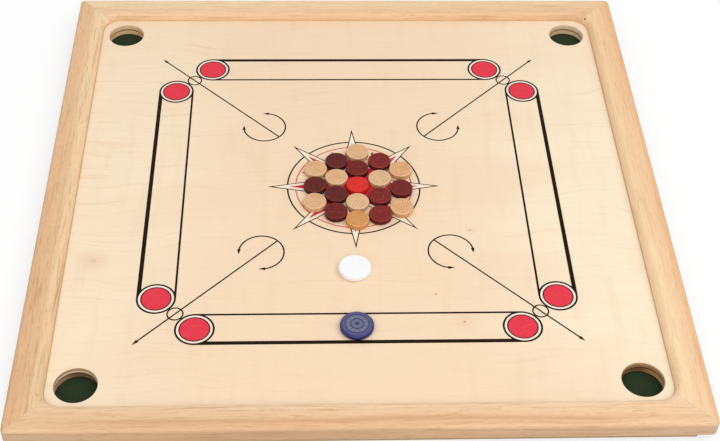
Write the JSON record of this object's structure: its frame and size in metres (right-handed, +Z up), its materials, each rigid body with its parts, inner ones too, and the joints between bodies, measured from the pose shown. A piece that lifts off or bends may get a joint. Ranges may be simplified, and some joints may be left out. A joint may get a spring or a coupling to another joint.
{
  "type": "carrom board",
  "caption": "Square wooden carrom board with a raised mitred frame, corner pockets and printed playing marks, set with loose round men and strikers.",
  "frame": {"origin": "centre of the square board on the surface that it lies on", "axes": "+X to the right and +Y away from the player at the near base line, +Z up out of the playing surface"},
  "size_m": [0.827, 0.827, 0.0335],
  "materials": {
    "rail_wood": "clear satin lacquer on straight-grained solid hardwood",
    "panel_wood": "polished lacquer on pale birch plywood",
    "inner_wood": "plain sawn plywood and softwood",
    "base_wood": "plain thin plywood",
    "biscuit_wood": "pressed beech",
    "green_felt": "short-napped felt",
    "screw_steel": "bright zinc",
    "black_ink": "screen-printed ink under lacquer",
    "red_ink": "screen-printed ink under lacquer",
    "white_ink": "screen-printed ink under lacquer",
    "light_man_wood": "turned and waxed pale wood",
    "dark_man_wood": "turned wood stained dark red",
    "queen_wood": "turned wood painted bright red",
    "blue_plastic": "moulded plastic with a light sheen",
    "white_plastic": "moulded plastic, polished"
  },
  "bodies": {
    "board": {"back_rail": "rail_wood", "left_rail": "rail_wood", "front_rail": "rail_wood", "right_rail": "rail_wood", "biscuit_back_right": "biscuit_wood", "biscuit_back_left": "biscuit_wood", "biscuit_front_left": "biscuit_wood", "biscuit_front_right": "biscuit_wood", "playing_panel": "panel_wood", "pocket_block_back_right": "inner_wood", "pocket_block_back_left": "inner_wood", "pocket_block_front_left": "inner_wood", "pocket_block_front_right": "inner_wood", "pocket_felt_back_right": "green_felt", "pocket_felt_back_left": "green_felt", "pocket_felt_front_left": "green_felt", "pocket_felt_front_right": "green_felt", "back_edge_batten": "inner_wood", "left_edge_batten": "inner_wood", "front_edge_batten": "inner_wood", "right_edge_batten": "inner_wood", "cross_batten_long": "inner_wood", "cross_batten_wide": "inner_wood", "base_sheet": "base_wood", "base_screws": "screw_steel", "base_lines": "black_ink", "base_discs": "red_ink", "base_rings": "white_ink", "corner_arrows": "black_ink", "centre_outlines": "black_ink", "centre_red": "red_ink", "centre_ground": "white_ink"},
    "light_man_1": {"light_man_1": "light_man_wood"},
    "dark_man_1": {"dark_man_1": "dark_man_wood"},
    "light_man_2": {"light_man_2": "light_man_wood"},
    "dark_man_2": {"dark_man_2": "dark_man_wood"},
    "light_man_3": {"light_man_3": "light_man_wood"},
    "dark_man_3": {"dark_man_3": "dark_man_wood"},
    "dark_man_4": {"dark_man_4": "dark_man_wood"},
    "light_man_4": {"light_man_4": "light_man_wood"},
    "dark_man_5": {"dark_man_5": "dark_man_wood"},
    "queen": {"queen": "queen_wood"},
    "light_man_5": {"light_man_5": "light_man_wood"},
    "light_man_6": {"light_man_6": "light_man_wood"},
    "dark_man_6": {"dark_man_6": "dark_man_wood"},
    "light_man_7": {"light_man_7": "light_man_wood"},
    "dark_man_7": {"dark_man_7": "dark_man_wood"},
    "dark_man_8": {"dark_man_8": "dark_man_wood"},
    "light_man_8": {"light_man_8": "light_man_wood"},
    "dark_man_9": {"dark_man_9": "dark_man_wood"},
    "light_man_9": {"light_man_9": "light_man_wood"},
    "blue_striker": {"blue_striker": "blue_plastic"},
    "white_striker": {"white_striker": "white_plastic"}
  },
  "joints": [
    {"name": "light_man_1_lift", "type": "slide", "parent": "board", "child": "light_man_1", "axis": [0, 0, 1], "range_m": [0, 0.06]},
    {"name": "dark_man_1_lift", "type": "slide", "parent": "board", "child": "dark_man_1", "axis": [0, 0, 1], "range_m": [0, 0.06]},
    {"name": "light_man_2_lift", "type": "slide", "parent": "board", "child": "light_man_2", "axis": [0, 0, 1], "range_m": [0, 0.06]},
    {"name": "dark_man_2_lift", "type": "slide", "parent": "board", "child": "dark_man_2", "axis": [0, 0, 1], "range_m": [0, 0.06]},
    {"name": "light_man_3_lift", "type": "slide", "parent": "board", "child": "light_man_3", "axis": [0, 0, 1], "range_m": [0, 0.06]},
    {"name": "dark_man_3_lift", "type": "slide", "parent": "board", "child": "dark_man_3", "axis": [0, 0, 1], "range_m": [0, 0.06]},
    {"name": "dark_man_4_lift", "type": "slide", "parent": "board", "child": "dark_man_4", "axis": [0, 0, 1], "range_m": [0, 0.06]},
    {"name": "light_man_4_lift", "type": "slide", "parent": "board", "child": "light_man_4", "axis": [0, 0, 1], "range_m": [0, 0.06]},
    {"name": "dark_man_5_lift", "type": "slide", "parent": "board", "child": "dark_man_5", "axis": [0, 0, 1], "range_m": [0, 0.06]},
    {"name": "queen_lift", "type": "slide", "parent": "board", "child": "queen", "axis": [0, 0, 1], "range_m": [0, 0.06]},
    {"name": "light_man_5_lift", "type": "slide", "parent": "board", "child": "light_man_5", "axis": [0, 0, 1], "range_m": [0, 0.06]},
    {"name": "light_man_6_lift", "type": "slide", "parent": "board", "child": "light_man_6", "axis": [0, 0, 1], "range_m": [0, 0.06]},
    {"name": "dark_man_6_lift", "type": "slide", "parent": "board", "child": "dark_man_6", "axis": [0, 0, 1], "range_m": [0, 0.06]},
    {"name": "light_man_7_lift", "type": "slide", "parent": "board", "child": "light_man_7", "axis": [0, 0, 1], "range_m": [0, 0.06]},
    {"name": "dark_man_7_lift", "type": "slide", "parent": "board", "child": "dark_man_7", "axis": [0, 0, 1], "range_m": [0, 0.06]},
    {"name": "dark_man_8_lift", "type": "slide", "parent": "board", "child": "dark_man_8", "axis": [0, 0, 1], "range_m": [0, 0.06]},
    {"name": "light_man_8_lift", "type": "slide", "parent": "board", "child": "light_man_8", "axis": [0, 0, 1], "range_m": [0, 0.06]},
    {"name": "dark_man_9_lift", "type": "slide", "parent": "board", "child": "dark_man_9", "axis": [0, 0, 1], "range_m": [0, 0.06]},
    {"name": "light_man_9_lift", "type": "slide", "parent": "board", "child": "light_man_9", "axis": [0, 0, 1], "range_m": [0, 0.06]},
    {"name": "blue_striker_slide", "type": "slide", "parent": "board", "child": "blue_striker", "axis": [1, 0, 0], "range_m": [-0.1994, 0.2054]},
    {"name": "white_striker_slide", "type": "slide", "parent": "board", "child": "white_striker", "axis": [1, 0, 0], "range_m": [-0.3483, 0.3543]}
  ]
}
